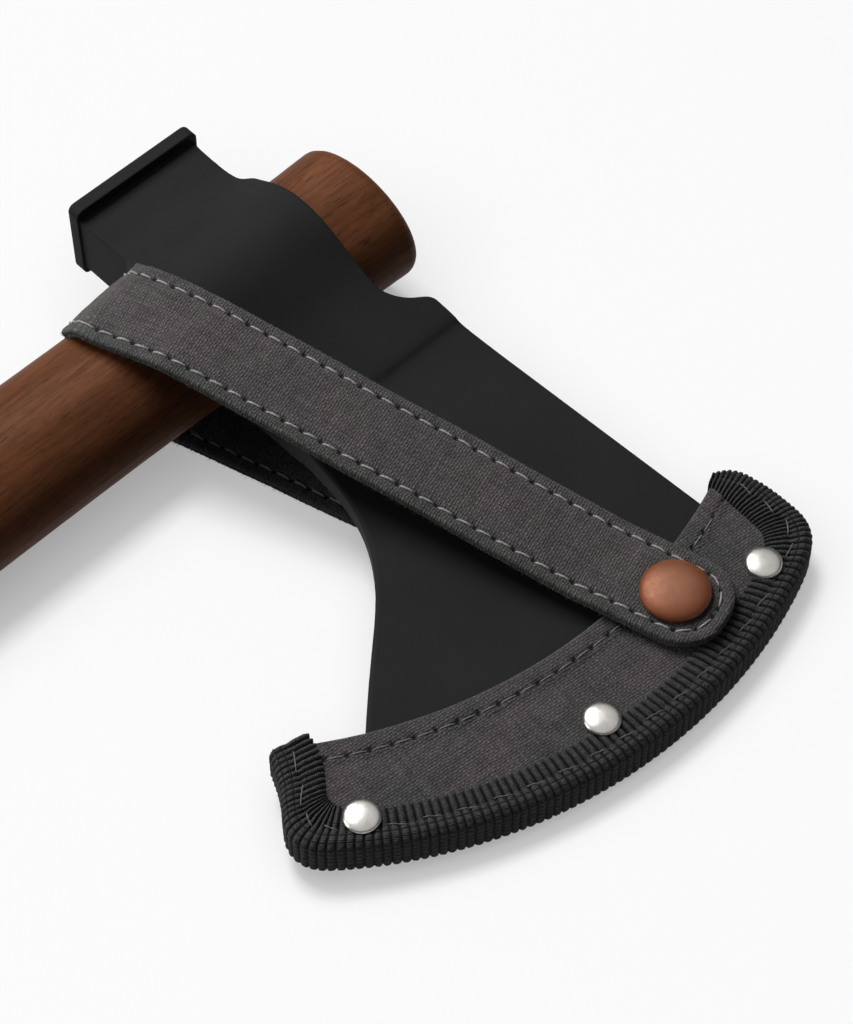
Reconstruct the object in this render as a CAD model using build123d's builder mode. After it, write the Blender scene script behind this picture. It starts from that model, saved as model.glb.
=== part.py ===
"""Carving hatchet with a canvas edge sheath, as separate pieces (millimetres).

Every piece is drawn in the head's own frame: the origin is on the handle's axis
at the middle of the eye, +X points to the cutting edge, +Y to the handle's top
and +Z to the side that carries the snap. The last section leans the whole set
over until it lies on a table and writes one STEP file for each piece.
"""
from build123d import *
import math
import os

# Handle: an oval that grows towards the top, so the head cannot fly off it.
HANDLE_STATIONS = [  # distance along the axis, half width in X, half height in Z
    (39.5, 19.3, 15.1),
    (21.0, 18.7, 14.7),
    (-16.0, 17.5, 14.0),
    (-90.0, 17.4, 13.9),
    (-200.0, 15.6, 12.6),
    (-300.0, 16.2, 12.9),
    (-362.0, 16.8, 13.4),
]
HANDLE_END_ROUND = 3.0

# Head
EYE_TOP = 21.0
EYE_BOTTOM = -16.0
EYE_CLEARANCE = 0.35
EYE_HALF_HEIGHT = 17.8
POLL_FACE = -40.9
POLL_THICKNESS = 3.6
POLL_LOW, POLL_HIGH = -15.6, 20.8
POLL_HALF_HEIGHT = 11.0
NECK_HALF_HEIGHT, NECK_END, NECK_LOW = 8.2, -27.0, -15.0
CHEEK_X, CHEEK_HALF = 56.0, 3.0
EDGE_ROUND = 0.8
EDGE_CENTRE = (28.0, -6.0)
EDGE_RADIUS = 107.0
HEEL_ANGLE, HORN_ANGLE = -36.1, 22.5
GRIND_WIDTH, GRIND_HALF = 12.0, 1.75

# Sheath
POCKET_HALF = 2.9
PANEL = 1.5
TAPE = 1.1
FLANGE = 8.5
OUTER_RADIUS = 120.0
POCKET_LOW, POCKET_HIGH, POCKET_EDGE_GAP = -70.2, 36.2, 0.8
RIVETS = [(119.2, -73.4), (137.0, -21.8), (134.0, 30.7)]
RIVET_POST_R = 1.6
RIVET_CAP_R, RIVET_CAP_H = 4.1, 1.7

# Strap: two plies of canvas, sewn together
STRAP_WIDTH = 22.5
STRAP_TIP_ROUND = 10.4
PLY = 1.4
STRAP_ANGLE, BACK_STRAP_ANGLE = 16.0, 13.6
BACK_STRAP_SHIFT = 1.8
STRAP_SPLIT_X = -8.0
SNAP = (127.3, 10.0)
SNAP_CAP_R, SNAP_CAP_H = 7.75, 3.4
STUD_POST_R, STUD_BASE_R, STUD_BASE_H, STUD_HEAD_H = 2.4, 5.0, 0.4, 0.9
SOCKET_H = 0.95
WRAP_REACH, WRAP_WIDTH, WRAP_ROUND = 18.3, 60.0, 13.0
WRAP_HIGH = -16.2
STRAP_OVER_EYE = 18.15
STRAP_ON_SNAP = 5.9
SOFT_GAP = 0.2

# Lie on a table: lean about the handle's direction until the bit is down
LEAN = 5.5
REST_HEIGHT = 20.95

panel_top = POCKET_HALF + PANEL
tape_top = panel_top + TAPE
strap_top = 2 * PLY


def on_edge_circle(radius, degrees):
    """A point on a circle about the cutting edge's centre."""
    angle = math.radians(degrees)
    return (EDGE_CENTRE[0] + radius * math.cos(angle), EDGE_CENTRE[1] + radius * math.sin(angle))


def dome(radius, height, rim):
    """Revolved cap, seated on z = 0: a short straight rim under a slice of a ball."""
    rise = height - rim
    ball = (radius**2 + rise**2) / (2 * rise)
    half_way = math.asin(radius / ball) / 2
    crown = (ball * math.sin(half_way), height - ball + ball * math.cos(half_way))
    with BuildPart() as cap:
        with BuildSketch(Plane.XZ):
            with BuildLine():
                Polyline((0, height), (0, 0), (radius, 0), (radius, rim))
                ThreePointArc((radius, rim), crown, (0, height))
            make_face()
        revolve(axis=Axis.Z)
    return cap.part


# ---------------------------------------------------------------- handle
with BuildPart() as handle:
    for along, half_x, half_z in HANDLE_STATIONS:
        with BuildSketch(Plane.XZ.offset(-along)):
            Ellipse(half_x, half_z)
    loft()
    for end in (0, -1):
        fillet(handle.faces().sort_by(Axis.Y)[end].edges(), HANDLE_END_ROUND)

# ---------------------------------------------------------------- head
heel = on_edge_circle(EDGE_RADIUS, HEEL_ANGLE)
horn = on_edge_circle(EDGE_RADIUS, HORN_ANGLE)
neck_corner = (POLL_FACE + 1, POLL_HIGH - 0.3)

with BuildPart() as head:
    # Section through the neck, eye and cheeks, seen along the handle
    with BuildSketch(Plane.XZ):
        with BuildLine():
            Line((POLL_FACE + 1, NECK_HALF_HEIGHT), (NECK_END, NECK_HALF_HEIGHT))
            Spline(
                (NECK_END, NECK_HALF_HEIGHT), (-19.0, 10.2), (-13.0, 13.7), (-6.5, 16.9),
                (0, EYE_HALF_HEIGHT), (8.0, 15.9), (16.5, 11.5), (26.0, 7.9), (40.0, 4.8),
                (CHEEK_X, CHEEK_HALF),
                tangents=[(1, 0), (1, -0.03)],
            )
            Polyline((CHEEK_X, CHEEK_HALF), (140, 1.3), (140, 0), (POLL_FACE + 1, 0))
            Line((POLL_FACE + 1, 0), (POLL_FACE + 1, NECK_HALF_HEIGHT))
        make_face()
        mirror(about=Plane.XZ)
    extrude(amount=100, both=True)
    # Plan outline of the neck, eye, beard, cutting edge and toe
    with BuildSketch(Plane.XY):
        with BuildLine():
            Line(neck_corner, (POLL_FACE + 1, NECK_LOW))
            Polyline((POLL_FACE + 1, NECK_LOW), (-21, NECK_LOW), (-17, EYE_BOTTOM), (20, EYE_BOTTOM - 1))
            Spline(
                (20, EYE_BOTTOM - 1), (46, -19.2), (64, -22.6), (78, -30.9), (92, -45.4), heel,
                tangents=[(1, -0.06), (1, -1.03)],
            )
            ThreePointArc(heel, on_edge_circle(EDGE_RADIUS, 0), horn)
            Line(horn, (35.0, 29.5))
            Spline((35.0, 29.5), (31.2, 26.2), (24.5, EYE_TOP), tangents=[(-1, -0.06), (-1, -0.35)])
            Line((24.5, EYE_TOP), (-16.5, EYE_TOP))
            Spline((-16.5, EYE_TOP), (-19.2, 19.9), (-22.0, 19.2), tangents=[(-1, 0), (-1, 0.0)])
            Spline((-22.0, 19.2), (-31.5, 19.2), neck_corner, tangents=[(-1, 0), (-1, 0.45)])
        make_face()
    extrude(amount=30, both=True, mode=Mode.INTERSECT)
    # Ground bevel that follows the curved cutting edge, on both sides
    with BuildSketch(Plane((*EDGE_CENTRE, 0), x_dir=(1, 0, 0), z_dir=(0, -1, 0))):
        with BuildLine():
            Polyline(
                (EDGE_RADIUS + 0.2, 0.12), (EDGE_RADIUS - GRIND_WIDTH, GRIND_HALF),
                (EDGE_RADIUS - GRIND_WIDTH, 9), (EDGE_RADIUS + 9, 9), (EDGE_RADIUS + 9, 0.12),
                close=True,
            )
        make_face()
        mirror(about=Plane.XZ)
    revolve(axis=Axis((*EDGE_CENTRE, 0), (0, 0, 1)), mode=Mode.SUBTRACT)
    # Hammer poll
    with BuildSketch(Plane.YZ.offset(POLL_FACE)):
        with Locations(((POLL_LOW + POLL_HIGH) / 2, 0)):
            RectangleRounded(POLL_HIGH - POLL_LOW, 2 * POLL_HALF_HEIGHT, 2.0)
    extrude(amount=POLL_THICKNESS)
    # Eye: the handle's own taper and a little clearance, run out past both rims
    (high, high_x, high_z), (low, low_x, low_z) = HANDLE_STATIONS[0], HANDLE_STATIONS[2]
    for along in (EYE_TOP + 4, EYE_BOTTOM - 4):
        share = (along - low) / (high - low)
        with BuildSketch(Plane.XZ.offset(-along)):
            Ellipse(
                low_x + EYE_CLEARANCE + share * (high_x - low_x),
                low_z + EYE_CLEARANCE + share * (high_z - low_z),
            )
    loft(mode=Mode.SUBTRACT)
    fillet(head.edges().filter_by_position(Axis.X, POLL_FACE - 0.1, POLL_FACE + 0.1), EDGE_ROUND)
    lower_rims = head.edges().filter_by_position(Axis.Y, EYE_BOTTOM - 1.1, EYE_BOTTOM + 0.1)
    fillet(lower_rims.filter_by(lambda rim: abs(rim.center().Z) > 9 and rim.length > 30), EDGE_ROUND)

# ---------------------------------------------------------------- sheath
mouth_top, mouth_low = (112.0, 37.0), (99.7, -67.5)

with BuildSketch() as panel_outline:
    with BuildLine():
        ThreePointArc(mouth_low, (118.8, -5.4), mouth_top)
        Polyline(mouth_top, (111.0, 41.0), (112.6, 44.4))
        Line((112.6, 44.4), (134.8, 45.2))
        ThreePointArc(
            (134.8, 45.2), on_edge_circle(OUTER_RADIUS - TAPE, 0), on_edge_circle(OUTER_RADIUS - TAPE, -40)
        )
        ThreePointArc(on_edge_circle(OUTER_RADIUS - TAPE, -40), (113.8, -85.7), (107.6, -83.7))
        Polyline((107.6, -83.7), (94.2, -75.4), mouth_low)
    make_face()

# The blade's room: inside the cutting edge, open towards the mouth
with BuildSketch() as pocket_outline:
    with Locations((EDGE_CENTRE[0] + 50, POCKET_LOW)):
        Rectangle(200, POCKET_HIGH - POCKET_LOW, align=(Align.CENTER, Align.MIN))
    with Locations(EDGE_CENTRE):
        Circle(EDGE_RADIUS + POCKET_EDGE_GAP, mode=Mode.INTERSECT)

# The panel's part that the binding leaves bare
with BuildSketch() as bare_outline:
    with BuildLine():
        ThreePointArc((131.0, 33.0), on_edge_circle(OUTER_RADIUS - FLANGE, 0), (121.0, -67.5))
        Polyline((121.0, -67.5), (112.5, -77.0), (103.0, -69.7))
        Polyline((103.0, -69.7), (60.0, -69.7), (60.0, 37.2), (124.0, 37.2), (131.0, 33.0))
    make_face()


def rivet_spots(height):
    """The three rivets' places at one height."""
    return [(x, y, height) for x, y in RIVETS]


panels = {}
for side, low in (("front", POCKET_HALF), ("back", -panel_top)):
    with BuildPart() as panel:
        with BuildSketch(Plane.XY.offset(low)):
            add(panel_outline.sketch)
        extrude(amount=PANEL)
        with Locations(rivet_spots(0)):
            Cylinder(RIVET_POST_R, 40, mode=Mode.SUBTRACT)
        if side == "front":
            with Locations((*SNAP, 0)):
                Cylinder(STUD_POST_R, 40, mode=Mode.SUBTRACT)
    panels[side] = panel.part

with BuildPart() as edge_guard:
    with BuildSketch(Plane.XY.offset(-POCKET_HALF)):
        add(panel_outline.sketch)
        add(pocket_outline.sketch, mode=Mode.SUBTRACT)
    extrude(amount=2 * POCKET_HALF)
    with Locations(rivet_spots(0)):
        Cylinder(RIVET_POST_R, 40, mode=Mode.SUBTRACT)

with BuildPart() as binding_tape:
    with BuildSketch(Plane.XY.offset(-tape_top)):
        offset(panel_outline.sketch, amount=TAPE)
    extrude(amount=2 * tape_top)
    with BuildSketch(Plane.XY.offset(-20)):
        add(bare_outline.sketch)
    extrude(amount=40, mode=Mode.SUBTRACT)
    with BuildSketch(Plane.XY.offset(-panel_top)):
        add(panel_outline.sketch)
    extrude(amount=2 * panel_top, mode=Mode.SUBTRACT)
    # The tape stops just inside the mouth's edge
    with BuildSketch(Plane.XY.offset(-20)):
        with BuildLine():
            ThreePointArc((100.0, -67.5), (119.1, -5.4), (112.3, 37.0))
            Polyline((112.3, 37.0), (111.3, 41.2), (70, 41.2), (70, -74.6), (94.6, -74.6), (100.0, -67.5))
        make_face()
    extrude(amount=40, mode=Mode.SUBTRACT)
    with Locations(rivet_spots(0)):
        Cylinder(RIVET_POST_R, 40, mode=Mode.SUBTRACT)

rivet_dome = dome(RIVET_CAP_R, RIVET_CAP_H, 0.35)
rivet_caps = Compound([Pos(*spot) * rivet_dome for spot in rivet_spots(tape_top)])
rivet_back_caps = Compound(
    [Pos(*spot) * Rot(180, 0, 0) * rivet_dome for spot in rivet_spots(-tape_top)]
)
with BuildPart() as rivet_posts:
    with Locations(rivet_spots(0)):
        Cylinder(RIVET_POST_R - 0.02, 2 * tape_top)

# ---------------------------------------------------------------- snap
with BuildPart() as snap_stud:
    with Locations((*SNAP, panel_top)):
        Cylinder(STUD_BASE_R, STUD_BASE_H, align=(Align.CENTER, Align.CENTER, Align.MIN))
        Cylinder(STUD_POST_R - 0.3, STUD_BASE_H + STUD_HEAD_H, align=(Align.CENTER, Align.CENTER, Align.MIN))
with BuildPart() as snap_stud_rivet:
    with Locations((*SNAP, POCKET_HALF - 0.5)):
        Cylinder(STUD_BASE_R - 0.8, 0.5, align=(Align.CENTER, Align.CENTER, Align.MIN))
        Cylinder(STUD_POST_R - 0.05, 0.5 + PANEL, align=(Align.CENTER, Align.CENTER, Align.MIN))
with BuildPart() as snap_socket:
    with Locations((*SNAP, STRAP_ON_SNAP)):
        Cylinder(STUD_BASE_R, SOCKET_H, align=(Align.CENTER, Align.CENTER, Align.MAX))
        Cylinder(STUD_POST_R, 2 * SOCKET_H, mode=Mode.SUBTRACT)
with BuildPart() as snap_cap_post:
    with Locations((*SNAP, STRAP_ON_SNAP)):
        Cylinder(STUD_POST_R - 0.4, strap_top, align=(Align.CENTER, Align.CENTER, Align.MIN))
snap_cap = Pos(*SNAP, STRAP_ON_SNAP + strap_top) * dome(SNAP_CAP_R, SNAP_CAP_H, 0.9)

# ---------------------------------------------------------------- strap


def along_strap(degrees):
    """Planes at the snap, seen from the strap's side and from above, that run along the strap."""
    run = (math.cos(math.radians(degrees)), math.sin(math.radians(degrees)), 0)
    side = Plane((*SNAP, 0), x_dir=run, z_dir=(run[1], -run[0], 0))
    return side, Plane((*SNAP, 0), x_dir=run, z_dir=(0, 0, 1))


snap_side, snap_plan = along_strap(STRAP_ANGLE)
back_side, _ = along_strap(BACK_STRAP_ANGLE)
table = Plane(
    (0, 0, -REST_HEIGHT),
    x_dir=(math.cos(math.radians(LEAN)), 0, math.sin(math.radians(LEAN))),
    z_dir=(-math.sin(math.radians(LEAN)), 0, math.cos(math.radians(LEAN))),
)
table_side = Plane(table.location * back_side.location)

# Underside of the front strap: along the strap from the snap, and height
FRONT_RUN = [(-150, STRAP_OVER_EYE), (-124, STRAP_OVER_EYE), (-19, STRAP_ON_SNAP), (14, STRAP_ON_SNAP)]
# Underside of the back strap, the same way, above the table
BACK_RUN = [(-150, 0), (-32, 0), (-12, 2.0), (-1, 1.4)]

plies = {}
for ply, lift in (("inner", 0.0), ("outer", PLY)):
    with BuildPart() as front_ply:
        with BuildSketch(snap_side):
            with BuildLine():
                lower = [(along, height + lift) for along, height in FRONT_RUN]
                upper = [(along, height + lift + PLY) for along, height in reversed(FRONT_RUN)]
                Polyline(*lower, *upper, close=True)
            make_face()
        extrude(amount=STRAP_WIDTH / 2, both=True)
        with BuildSketch(snap_plan):
            with Locations((14 - 90, 0)):
                RectangleRounded(180, STRAP_WIDTH, STRAP_TIP_ROUND)
        extrude(amount=40, mode=Mode.INTERSECT)
        split(bisect_by=Plane.YZ.offset(STRAP_SPLIT_X + SOFT_GAP), keep=Keep.TOP)
        with Locations((*SNAP, 0)):
            Cylinder(STUD_POST_R - 0.38, 60, mode=Mode.SUBTRACT)
    plies["strap_front_" + ply] = front_ply.part

    # The back strap's outer ply lies on the table and its inner ply on that
    with BuildPart() as back_ply:
        with BuildSketch(table_side.offset(-(STRAP_WIDTH / 2 + BACK_STRAP_SHIFT))):
            with BuildLine():
                lower = [(along, height + PLY - lift) for along, height in BACK_RUN]
                upper = [(along, height + 2 * PLY - lift) for along, height in reversed(BACK_RUN)]
                Polyline(*lower, *upper, close=True)
            make_face()
        extrude(amount=STRAP_WIDTH)
        split(bisect_by=Plane.YZ.offset(STRAP_SPLIT_X + SOFT_GAP), keep=Keep.TOP)
    plies["strap_back_" + ply] = back_ply.part

    # The wrap behind the handle: half of a rounded rectangle, run along the handle
    with BuildPart() as wrap_ply:
        with BuildSketch(Plane.XZ.offset(-WRAP_HIGH)):
            grow = lift + PLY
            with Locations((WRAP_WIDTH / 2 - WRAP_REACH, 0)):
                RectangleRounded(WRAP_WIDTH + 2 * grow, 2 * (STRAP_OVER_EYE + grow), WRAP_ROUND + grow)
                RectangleRounded(
                    WRAP_WIDTH + 2 * lift, 2 * (STRAP_OVER_EYE + lift), WRAP_ROUND + lift, mode=Mode.SUBTRACT
                )
        extrude(amount=STRAP_WIDTH + 0.6)
        split(bisect_by=Plane.YZ.offset(STRAP_SPLIT_X - SOFT_GAP), keep=Keep.BOTTOM)
    plies["strap_wrap_" + ply] = wrap_ply.part

# ---------------------------------------------------------------- lie down and write
pieces = {
    "head": head.part,
    "handle": handle.part,
    "sheath_front_panel": panels["front"],
    "sheath_back_panel": panels["back"],
    "edge_guard": edge_guard.part,
    "binding_tape": binding_tape.part,
    "rivet_caps": rivet_caps,
    "rivet_back_caps": rivet_back_caps,
    "rivet_posts": rivet_posts.part,
    "snap_stud": snap_stud.part,
    "snap_stud_rivet": snap_stud_rivet.part,
    "snap_socket": snap_socket.part,
    "snap_cap_post": snap_cap_post.part,
    "snap_cap": snap_cap,
    **plies,
}

leaned = {name: piece.moved(Rot(0, LEAN, 0)) for name, piece in pieces.items()}
whole = Compound(list(leaned.values())).bounding_box()
middle = (whole.min + whole.max) / 2
resting = Pos(-middle.X, -middle.Y, -whole.min.Z) * Rot(0, LEAN, 0)

os.makedirs("parts", exist_ok=True)
for name, piece in pieces.items():
    placed = piece.moved(resting)
    placed.label = name
    export_step(placed, f"parts/{name}.step")
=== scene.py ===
"""Looks of the carving hatchet: camera, lights, fabric, thread and materials around the CAD frame.

Lengths are millimetres in the head's frame (origin on the handle's axis at the middle of the eye,
+X to the cutting edge, +Y to the handle's top, +Z up) and become metres in the row frame in one place.
"""
import itertools
import math

import bpy
import numpy as np
from mathutils import Matrix, Vector, noise


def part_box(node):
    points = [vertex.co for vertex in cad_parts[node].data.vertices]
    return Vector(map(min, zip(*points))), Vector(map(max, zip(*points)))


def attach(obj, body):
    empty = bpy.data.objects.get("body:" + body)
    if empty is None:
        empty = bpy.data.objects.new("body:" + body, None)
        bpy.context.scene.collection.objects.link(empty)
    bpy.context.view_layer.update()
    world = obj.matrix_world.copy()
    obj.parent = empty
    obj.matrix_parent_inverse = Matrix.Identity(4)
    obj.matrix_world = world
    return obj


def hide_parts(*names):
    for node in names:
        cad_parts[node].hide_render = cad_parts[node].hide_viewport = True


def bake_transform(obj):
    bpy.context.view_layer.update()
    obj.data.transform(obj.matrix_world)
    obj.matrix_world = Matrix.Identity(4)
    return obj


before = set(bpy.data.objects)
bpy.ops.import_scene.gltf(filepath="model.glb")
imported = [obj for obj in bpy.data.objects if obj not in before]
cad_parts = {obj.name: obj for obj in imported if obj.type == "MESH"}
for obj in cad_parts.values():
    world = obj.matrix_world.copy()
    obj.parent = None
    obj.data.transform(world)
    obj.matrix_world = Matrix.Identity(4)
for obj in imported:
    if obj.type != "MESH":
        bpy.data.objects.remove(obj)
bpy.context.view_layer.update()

# ------------------------------------------------------------------ dimensions
MM = 0.001
# How the hatchet leans on the table, and how far its handle stands out over the eye's middle
LEAN = math.radians(5.5)
HANDLE_TOP = 39.5
low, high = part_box("handle")
EYE = Vector(((low.x + high.x) / 2, high.y - HANDLE_TOP * MM, (low.z + high.z) / 2))
HEAD = Matrix.Translation(EYE) @ Matrix.Rotation(LEAN, 4, "Y")

# Centre of the curved cutting edge, and the radii where its ground bevel starts and the sheath ends
EDGE_CENTRE = (28.0, -6.0)
GRIND_START = 95.5
OUTER_R = 120.0
# A sheath panel's outer and inner face over the mid-plane, and the pitch of all canvas
PANEL_TOP = 4.4
PANEL_UNDER = 2.9
WEAVE = 0.66
# Binding tape: thickness, width over a panel, pitch of its ribs and of the blocks on them, place of its seam
TAPE = 1.1
FLANGE = 8.5
RIB = 1.95
BLOCK = 1.5
TAPE_SEAM = 4.6
TAPE_THREAD = 0.42
RIVETS = [(119.2, -73.4), (137.0, -21.8), (134.0, 30.7)]
SNAP = (127.3, 10.0)
STRAP_ANGLE = math.radians(16.0)
BACK_STRAP_ANGLE = math.radians(13.6)
STRAP_HALF_WIDTH = 11.25
STRAP_HALF_THICK = 1.4
STRAP_OVER_EYE = 19.55
STRAP_ON_SNAP = 7.3
BACK_SHIFT = 1.8
# Behind the handle: the fold's own angle, and the strap's roll on its way there
WRAP_TILT = math.radians(4.5)
STRAP_ROLL = math.radians(8.5)
ROLL_START, ROLL_SPAN = 16.0, 20.0


def to_row(points):
    """Head-frame millimetres to row-frame metres."""
    points = np.asarray(points, float).reshape(-1, 3) * MM
    turn = np.array(HEAD.to_3x3())
    return points @ turn.T + np.array(HEAD.translation)


def row_point(x, y, z):
    return tuple(to_row([(x, y, z)])[0])


def edge_polar(radius, degrees):
    angle = math.radians(degrees)
    return EDGE_CENTRE[0] + radius * math.cos(angle), EDGE_CENTRE[1] + radius * math.sin(angle)


# ------------------------------------------------------------------ mesh helpers
def grid_faces(rows, cols, closed=False, start=0):
    """Quads of a rows x cols grid of points; closed joins the last column to the first."""
    faces = []
    for r in range(rows - 1):
        a, b = start + r * cols, start + (r + 1) * cols
        for c in range(cols if closed else cols - 1):
            d = (c + 1) % cols
            faces.append((a + c, a + d, b + d, b + c))
    return faces


def make_piece(name, points, faces, material, uvs=None):
    """A mesh object from head-frame points, with an optional per-point UV in millimetres."""
    mesh = bpy.data.meshes.new(name)
    mesh.from_pydata([tuple(p) for p in to_row(points)], [], faces)
    mesh.validate()
    if uvs is not None:
        layer = mesh.uv_layers.new(name="weave")
        uvs = np.asarray(uvs, float).reshape(-1, 2) * MM
        loops = np.zeros(len(mesh.loops), np.int64)
        mesh.loops.foreach_get("vertex_index", loops)
        layer.data.foreach_set("uv", uvs[loops].astype(np.float32).ravel())
    mesh.polygons.foreach_set("use_smooth", [True] * len(mesh.polygons))
    mesh.materials.append(material)
    mesh.update()
    piece = bpy.data.objects.new(name, mesh)
    bpy.context.scene.collection.objects.link(piece)
    return piece


def unit(vectors):
    return vectors / np.linalg.norm(vectors, axis=-1, keepdims=True)


def gaps(line):
    """Distances between a line's neighbouring points."""
    return np.linalg.norm(np.diff(line, axis=0), axis=1)


def lengths_along(line):
    return np.r_[0, np.cumsum(gaps(line))]


def resample(line, count):
    """A line's shape with points evenly along it."""
    line = np.asarray(line, float)
    lengths = lengths_along(line)
    at = np.linspace(0, lengths[-1], count)
    return np.stack([np.interp(at, lengths, line[:, k]) for k in range(line.shape[1])], 1)


def soften(line, sigma, step):
    """A line with points step apart, its corners rounded by a Gaussian."""
    reach = int(3 * sigma / step)
    weights = np.exp(-0.5 * (np.arange(-reach, reach + 1) * step / sigma) ** 2)
    weights /= weights.sum()
    before, after = 2 * line[0] - line[reach:0:-1], 2 * line[-1] - line[-2 : -reach - 2 : -1]
    padded = np.vstack([before, line, after])
    return np.stack([np.convolve(padded[:, k], weights, "valid") for k in range(line.shape[1])], 1)


def smooth_line(points, sigma, step):
    """A polyline resampled every step and softened."""
    count = max(int(lengths_along(points)[-1] / step), 2)
    return soften(resample(points, count + 1), sigma, step)


def lathe(name, profile, place, material, turns=48, sign=1):
    """A profile of (radius, height) turned about the head's Z at a place; sign -1 hangs it upside down."""
    x, y, z = place
    cols = len(profile)
    top, bottom = turns * cols, turns * cols + 1
    points, sides, ends = [], [], []
    for k in range(turns):
        angle = 2 * math.pi * k / turns * sign
        for radius, height in profile:
            points.append((x + radius * math.cos(angle), y + radius * math.sin(angle), z + sign * height))
        a, b = k * cols, (k + 1) % turns * cols
        sides += [(a + c, b + c, b + c + 1, a + c + 1) for c in range(cols - 1)]
        ends += [(a + cols - 1, b + cols - 1, top), (b, a, bottom)]
    points += [(x, y, z + sign * (profile[-1][1] + 0.02)), (x, y, z + sign * profile[0][1])]
    return make_piece(name, points, sides + ends, material)


def join(name, pieces):
    """One object from several made alike."""
    bpy.ops.object.select_all(action="DESELECT")
    for piece in pieces:
        piece.select_set(True)
    bpy.context.view_layer.objects.active = pieces[0]
    bpy.ops.object.join()
    pieces[0].name = name
    return pieces[0]


# ------------------------------------------------------------------ material helpers
class Nodes:
    """A Principled material and short ways to add nodes to it."""

    def __init__(self, name, roughness, metallic=0.0):
        self.material = bpy.data.materials.new(name)
        self.material.use_nodes = True
        self.tree = self.material.node_tree
        self.shader = self.tree.nodes["Principled BSDF"]
        self.shader.inputs["Roughness"].default_value = roughness
        self.shader.inputs["Metallic"].default_value = metallic

    def add(self, kind, inputs=None, **settings):
        made = self.tree.nodes.new(kind)
        for key, value in settings.items():
            setattr(made, key, value)
        for key, value in (inputs or {}).items():
            if isinstance(value, bpy.types.NodeSocket):
                self.tree.links.new(value, made.inputs[key])
            else:
                made.inputs[key].default_value = value
        return made.outputs[0]

    def math(self, operation, a, b=0.0, c=0.0):
        return self.add("ShaderNodeMath", {0: a, 1: b, 2: c}, operation=operation)

    def vector(self, operation, a, b=(0.0, 0.0, 0.0)):
        made = self.add("ShaderNodeVectorMath", {0: a, 1: b}, operation=operation).node
        return made.outputs["Value" if operation in ("LENGTH", "DISTANCE") else "Vector"]

    def position(self):
        """Object position in metres."""
        return self.tree.nodes.new("ShaderNodeTexCoord").outputs["Object"]

    def weave_uv(self):
        return self.add("ShaderNodeUVMap", uv_map="weave")

    def noise(self, where, scale, detail=4.0, rough=0.55):
        inputs = {"Vector": where, "Scale": scale, "Detail": detail, "Roughness": rough}
        return self.add("ShaderNodeTexNoise", inputs)

    def stretch(self, where, scale):
        return self.add("ShaderNodeMapping", {"Vector": where, "Scale": scale})

    def range(self, value, low, high, to_low, to_high):
        return self.add(
            "ShaderNodeMapRange",
            {"Value": value, "From Min": low, "From Max": high, "To Min": to_low, "To Max": to_high},
        )

    def mix(self, share, a, b):
        made = self.tree.nodes.new("ShaderNodeMix")
        made.data_type = "RGBA"
        for socket, value in ((made.inputs[0], share), (made.inputs[6], a), (made.inputs[7], b)):
            if isinstance(value, bpy.types.NodeSocket):
                self.tree.links.new(value, socket)
            else:
                socket.default_value = value if not isinstance(value, tuple) else (*value, 1.0)[:4]
        return made.outputs[2]

    def fade(self, value, low, high, a, b, first=0.0, last=1.0):
        """Colour a where a value is low, b where it is high; first and last are the shares of b there."""
        return self.mix(self.range(value, low, high, first, last), a, b)

    def bump(self, height, distance, strength, under=None):
        inputs = {"Height": height, "Distance": distance, "Strength": strength}
        if under is not None:
            inputs["Normal"] = under
        return self.add("ShaderNodeBump", inputs)

    def put(self, socket, value):
        if isinstance(value, bpy.types.NodeSocket):
            self.tree.links.new(value, self.shader.inputs[socket])
        else:
            self.shader.inputs[socket].default_value = value


def split_uv(made, uv):
    """The two parts of a UV in metres: along the cloth, and across it."""
    apart = made.add("ShaderNodeSeparateXYZ", {0: uv}).node
    return apart.outputs[0], apart.outputs[1]


def weave_height(made, uv):
    """Height of a plain weave: threads that pass over and under each other, 0 to 1."""
    step = math.pi / (WEAVE * MM)
    wave_u, wave_v = (made.math("SINE", made.math("MULTIPLY", part, step)) for part in split_uv(made, uv))
    ridge_u, ridge_v = made.math("ABSOLUTE", wave_u), made.math("ABSOLUTE", wave_v)
    over = made.math("GREATER_THAN", made.math("MULTIPLY", wave_u, wave_v), 0.0)
    warp = made.math("MULTIPLY", ridge_u, made.math("MULTIPLY_ADD", ridge_v, 0.6, 0.4))
    weft = made.math("MULTIPLY", ridge_v, made.math("MULTIPLY_ADD", ridge_u, 0.3, 0.25))
    return made.add("ShaderNodeMix", {0: over, 2: warp, 3: weft}, data_type="FLOAT")


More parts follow.
